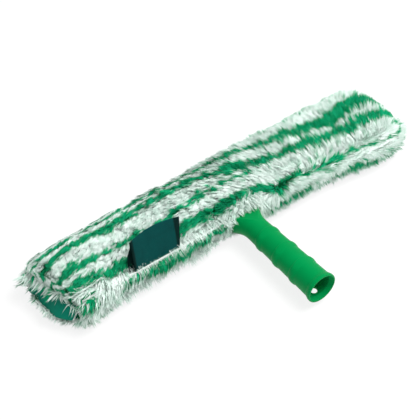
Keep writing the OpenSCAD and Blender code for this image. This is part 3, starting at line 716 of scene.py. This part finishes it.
# Sowing. A Compare node of whole numbers takes them at 2 and 3.
in_zone = add_node(pile, "FunctionNodeCompare", {2: marks["pile_zone"], 3: given["Zone"]},
                   data_type="INT", operation="EQUAL")[0]
per_area = add_node(pile, "ShaderNodeMath", {0: given["Yarns per Square Millimetre"], 1: 1e6},
                    operation="MULTIPLY")[0]
per_area = add_node(pile, "ShaderNodeMath", {0: per_area, 1: marks["pile_grows"]}, operation="MULTIPLY")[0]
sown = add_node(pile, "GeometryNodeDistributePointsOnFaces", {
    "Mesh": given["Cloth"], "Selection": in_zone, "Seed": given["Seed"], "Density": per_area})

# Tufts are the cells of a pattern. Slow and quick noise vary them along the cloth.
per_metre = add_node(pile, "ShaderNodeMath", {0: 1.0, 1: given["Tuft Size"]}, operation="DIVIDE")[0]
tuft = add_node(pile, "ShaderNodeTexVoronoi", {"Vector": position, "Scale": per_metre})
tuft_chance = add_node(pile, "ShaderNodeSeparateXYZ", {0: tuft["Color"]})
slow = add_node(pile, "ShaderNodeTexNoise", {"Vector": position, "Scale": 60.0, "Detail": 1.0})
quick = add_node(pile, "ShaderNodeTexNoise", {"Vector": position, "Scale": 150.0, "Detail": 2.0})

# Length: the yarn's own by the cloth's mark, by chance and in patches about 7 mm across
seed = add_node(pile, "ShaderNodeMath", {0: given["Seed"], 1: 1}, operation="ADD")[0]
by_chance = add_node(pile, "FunctionNodeRandomValue", {2: 0.82, 3: 1.12, "Seed": seed}, data_type="FLOAT")[1]
length = add_node(pile, "ShaderNodeMath", {0: given["Yarn Length"], 1: marks["pile_length"]},
                  operation="MULTIPLY")[0]
length = add_node(pile, "ShaderNodeMath", {0: length, 1: by_chance}, operation="MULTIPLY")[0]
by_patch = add_node(pile, "ShaderNodeMath", {0: quick[0], 1: 1.2, 2: 0.42}, operation="MULTIPLY_ADD")[0]
length = add_node(pile, "ShaderNodeMath", {0: length, 1: by_patch}, operation="MULTIPLY")[0]

# Lean: towards the tuft's middle, in slow waves, a little with its tuft, a little astray, and
# as the cloth's mark says
pull = add_node(pile, "ShaderNodeMath", {0: given["Tuft Pull"], 1: length}, operation="DIVIDE")[0]
to_tuft = add_node(pile, "ShaderNodeVectorMath", {0: tuft["Position"], 1: position}, operation="SUBTRACT")[0]
lean = add_node(pile, "ShaderNodeVectorMath", {0: to_tuft, "Scale": pull}, operation="SCALE")[0]
for noise, share in ((slow[1], 3.2), (tuft["Color"], 0.9)):
    far = add_node(pile, "ShaderNodeMath", {0: given["Waviness"], 1: share}, operation="MULTIPLY")[0]
    wave = add_node(pile, "ShaderNodeVectorMath", {0: noise, 1: (0.5, 0.5, 0.5)}, operation="SUBTRACT")[0]
    wave = add_node(pile, "ShaderNodeVectorMath", {0: wave, "Scale": far}, operation="SCALE")[0]
    lean = add_node(pile, "ShaderNodeVectorMath", {0: lean, 1: wave}, operation="ADD")[0]
stray = add_node(pile, "FunctionNodeRandomValue", {0: (-0.1, -0.1, -0.1), 1: (0.1, 0.1, 0.1), "Seed": 17},
                 data_type="FLOAT_VECTOR")[0]
lean = add_node(pile, "ShaderNodeVectorMath", {0: lean, 1: stray}, operation="ADD")[0]
lean = add_node(pile, "ShaderNodeVectorMath", {0: lean, 1: marks["pile_lean"]}, operation="ADD")[0]

# Colour: green inside a band, with a ragged edge from the three noises. They add 1.075 on
# average, so a share of 0.5 comes to 1.575.
band = marks["green_share"]
for noise, share in ((quick[0], 0.9), (slow[0], 0.6), (tuft_chance[0], 0.65)):
    band = add_node(pile, "ShaderNodeMath", {0: noise, 1: share, 2: band}, operation="MULTIPLY_ADD")[0]
how_green = add_node(pile, "ShaderNodeMapRange", {"Value": band, "From Min": 1.435, "From Max": 1.715})[0]
seed = add_node(pile, "ShaderNodeMath", {0: given["Seed"], 1: 9}, operation="ADD")[0]
by_chance = add_node(pile, "FunctionNodeRandomValue", {2: 0.0, 3: 0.4, "Seed": seed}, data_type="FLOAT")[1]
shade = add_node(pile, "ShaderNodeMath", {0: tuft_chance[1], 1: 0.6, 2: by_chance},
                 operation="MULTIPLY_ADD")[0]
grey = add_node(pile, "ShaderNodeMath", {0: shade, 1: 1.3}, operation="POWER")[0]
white_yarn = add_node(pile, "ShaderNodeMix", {0: grey, 6: linear("#ecf4f0"), 7: linear("#bad5c8")},
                      data_type="RGBA")[2]
green_yarn = add_node(pile, "ShaderNodeMix", {0: shade, 6: linear("#008550"), 7: linear("#16a877")},
                      data_type="RGBA")[2]
yarn = add_node(pile, "ShaderNodeMix", {0: how_green, 6: white_yarn, 7: green_yarn}, data_type="RGBA")[2]

roots = sown["Points"]
for name, kind, value in (("yarn_out", "FLOAT_VECTOR", sown["Normal"]), ("yarn_length", "FLOAT", length),
                          ("yarn_lean", "FLOAT_VECTOR", lean), ("yarn_colour", "FLOAT_COLOR", yarn)):
    roots = add_node(pile, "GeometryNodeStoreNamedAttribute", {
        "Geometry": roots, "Name": name, "Value": value}, data_type=kind)[0]

# One strand: a cone of three sides and two rings, fuller above its root
strand = add_node(pile, "GeometryNodeMeshCone", {
    "Vertices": 3, "Side Segments": 2, "Radius Top": 0.0, "Radius Bottom": 1.0, "Depth": 1.0})[0]
height = add_node(pile, "ShaderNodeSeparateXYZ", {0: position})[2]
strand = add_node(pile, "GeometryNodeStoreNamedAttribute", {
    "Geometry": strand, "Name": "yarn_up", "Value": height}, data_type="FLOAT")[0]
fuller = add_node(pile, "ShaderNodeMath", {0: height, 1: 1.8, 2: 1.0}, operation="MULTIPLY_ADD")[0]
fuller = add_node(pile, "ShaderNodeCombineXYZ", {0: fuller, 1: fuller, 2: 1.0})[0]
fuller = add_node(pile, "ShaderNodeVectorMath", {0: position, 1: fuller}, operation="MULTIPLY")[0]
strand = add_node(pile, "GeometryNodeSetPosition", {"Geometry": strand, "Position": fuller})[0]
strand_size = add_node(pile, "ShaderNodeCombineXYZ", {
    0: given["Yarn Radius"], 1: given["Yarn Radius"], 2: marks["yarn_length"]})[0]
standing = add_node(pile, "GeometryNodeInstanceOnPoints", {
    "Points": roots, "Instance": strand, "Rotation": sown["Rotation"], "Scale": strand_size})[0]
standing = add_node(pile, "GeometryNodeRealizeInstances", {0: standing})[0]

# Combing bends each strand from straight out towards its lean, and keeps its length
far = add_node(pile, "ShaderNodeMath", {0: marks["yarn_up"], 1: marks["yarn_length"]},
               operation="MULTIPLY")[0]
straight = add_node(pile, "ShaderNodeVectorMath", {0: marks["yarn_out"], "Scale": far}, operation="SCALE")[0]
bent = add_node(pile, "ShaderNodeVectorMath", {0: marks["yarn_lean"], "Scale": marks["yarn_up"]},
                operation="SCALE")[0]
bent = add_node(pile, "ShaderNodeVectorMath", {0: marks["yarn_out"], 1: bent}, operation="ADD")[0]
bent = add_node(pile, "ShaderNodeVectorMath", {0: bent}, operation="NORMALIZE")[0]
bent = add_node(pile, "ShaderNodeVectorMath", {0: bent, "Scale": far}, operation="SCALE")[0]
moved = add_node(pile, "ShaderNodeVectorMath", {0: bent, 1: straight}, operation="SUBTRACT")[0]
lying = add_node(pile, "GeometryNodeSetPosition", {"Geometry": standing, "Offset": moved})[0]

# The scrubber's weight presses the pile flat where it lies, the tips a little lower
now = add_node(pile, "ShaderNodeSeparateXYZ", {0: position})
lowest = add_node(pile, "ShaderNodeMath", {0: marks["yarn_up"], 1: -0.0004, 2: given["Rest Height"]},
                  operation="MULTIPLY_ADD")[0]
lowest = add_node(pile, "ShaderNodeMath", {0: now[2], 1: lowest}, operation="MAXIMUM")[0]
pressed = add_node(pile, "ShaderNodeCombineXYZ", {0: now[0], 1: now[1], 2: lowest})[0]
lying = add_node(pile, "GeometryNodeSetPosition", {"Geometry": lying, "Position": pressed})[0]
lying = add_node(pile, "GeometryNodeSetMaterial", {"Geometry": lying, "Material": given["Yarn"]})[0]
add_node(pile, "NodeGroupOutput", {0: lying})


def grow_pile(cloth, zone, name, body, per_square_mm, seed):
    """The yarns of one zone of a cloth, as a plain mesh that rides on the cloth's body."""
    yarns = grown(name, cloth.data, pile, {
        "Zone": zone, "Yarns per Square Millimetre": per_square_mm, "Seed": seed, "Yarn": pile_yarn})
    for mark in marks:
        if mark in yarns.data.attributes:
            yarns.data.attributes.remove(yarns.data.attributes[mark])
    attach(yarns, body)


sleeve_cloth = cloth_under_pile("plush_sleeve", "plush_cloth", green_bands)
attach(sleeve_cloth, "bar_and_sleeve")
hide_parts("plush_sleeve")
for zone, part in enumerate(("left_end", "left", "middle", "right", "right_end")):
    grow_pile(sleeve_cloth, zone, "upper_pile_" + part, "bar_and_sleeve", 2.1, 3 + zone)
    grow_pile(sleeve_cloth, zone + 5, "lower_pile_" + part, "bar_and_sleeve", 1.3, 13 + zone)

# Pile of the front flap
# The lower front of the same plush, left of the handle. It is a strip that opens with its
# lining, and its pile hides the fold along the bottom.
flap_bands = [
    [(-171, 161, 2), (-162, 160, 6), (-154, 162, 3)],
    [(-126, 163, 3), (-100, 164, 8), (-60, 164, 8), (-40, 167, 9), (-24, 170, 10)],
    [(-174, 203, 3), (-162, 206, 6), (-152, 205, 3)],
    [(-176, 234, 6), (0, 230, 6)],
    [(-176, 254, 4), (0, 252, 4)],
]
flap_cloth = cloth_under_pile("closure_flap", "flap_plush_cloth", flap_bands)
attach(flap_cloth, "front_flap")
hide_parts("closure_flap")
for zone, part in enumerate(("left_end", "left", "middle")):
    grow_pile(flap_cloth, zone, "flap_pile_upper_" + part, "front_flap", 1.6, 23 + zone)
    grow_pile(flap_cloth, zone + 5, "flap_pile_lower_" + part, "front_flap", 1.6, 33 + zone)

# Studio
# A plain white paper floor under soft light from above, in metres. The floor and the world
# show white where they are seen, and light the object less than that.


def seen_directly(tree):
    """Empties a node tree and gives it 1 for rays that see, mirror or look through, else 0."""
    tree.nodes.clear()
    ray = add_node(tree, "ShaderNodeLightPath")
    seen = add_node(tree, "ShaderNodeMath", {0: ray["Is Camera Ray"], 1: ray["Is Glossy Ray"]},
                    operation="MAXIMUM")[0]
    return add_node(tree, "ShaderNodeMath", {0: seen, 1: ray["Is Transmission Ray"]}, operation="MAXIMUM")[0]


floor_half, floor_z = 6.0, -0.0205
corners = [(x * floor_half, y * floor_half, floor_z) for x, y in ((-1, -1), (1, -1), (1, 1), (-1, 1))]
floor_mesh = bpy.data.meshes.new("floor")
floor_mesh.from_pydata(corners, [], [(0, 1, 2, 3)])
floor = bpy.data.objects.new("floor", floor_mesh)
bpy.context.scene.collection.objects.link(floor)
floor_white = bpy.data.materials.new("white floor")
floor_white.use_nodes = True
tree = floor_white.node_tree
glow_share = add_node(tree, "ShaderNodeMath", {0: seen_directly(tree), 1: 0.8}, operation="MULTIPLY")[0]
paper = add_node(tree, "ShaderNodeBsdfDiffuse", {"Color": (0.86, 0.86, 0.86, 1)})[0]
glow = add_node(tree, "ShaderNodeEmission", {"Color": (1, 1, 1, 1), "Strength": 1.02})[0]
shown = add_node(tree, "ShaderNodeMixShader", {0: glow_share, 1: paper, 2: glow})[0]
add_node(tree, "ShaderNodeOutputMaterial", {0: shown})
floor_mesh.materials.append(floor_white)

world = bpy.data.worlds.new("studio")
world.use_nodes = True
bpy.context.scene.world = world
tree = world.node_tree
strength = add_node(tree, "ShaderNodeMapRange", {
    "Value": seen_directly(tree), "To Min": 0.62, "To Max": 1.0})[0]
sky = add_node(tree, "ShaderNodeBackground", {"Color": (1, 1, 1, 1), "Strength": strength})[0]
add_node(tree, "ShaderNodeOutputWorld", {0: sky})

sleeve_middle = Vector((0, 0.12, 0))
for name, place, size, power in (
    ("top softbox", (0.4, -0.2, 1.2), 0.8, 19.0),
    ("side softbox", (0.9, -0.9, 0.8), 0.7, 2.0),
):
    lamp_data = bpy.data.lights.new(name, "AREA")
    lamp_data.size = size
    lamp_data.energy = power
    lamp = bpy.data.objects.new(name, lamp_data)
    lamp.location = place
    lamp.rotation_euler = (sleeve_middle - Vector(place)).to_track_quat("-Z", "Y").to_euler()
    bpy.context.scene.collection.objects.link(lamp)

# Camera at the photograph's angle. Its focal length is 1193 pixels of a frame 420 wide.
camera_data = bpy.data.cameras.new("photo camera")
camera_data.sensor_width = 36
camera_data.lens = 1193 / 420 * 36
camera_data.clip_start = 0.05
camera_data.clip_end = 50
camera = bpy.data.objects.new("photo camera", camera_data)
camera.location = (-0.457007, -0.452083, 0.733342)
backwards = Vector((-0.42647, -0.55780, 0.71203))
camera.rotation_euler = backwards.to_track_quat("Z", "Y").to_euler()
bpy.context.scene.collection.objects.link(camera)
bpy.context.scene.camera = camera
bpy.context.scene.view_settings.view_transform = "Standard"
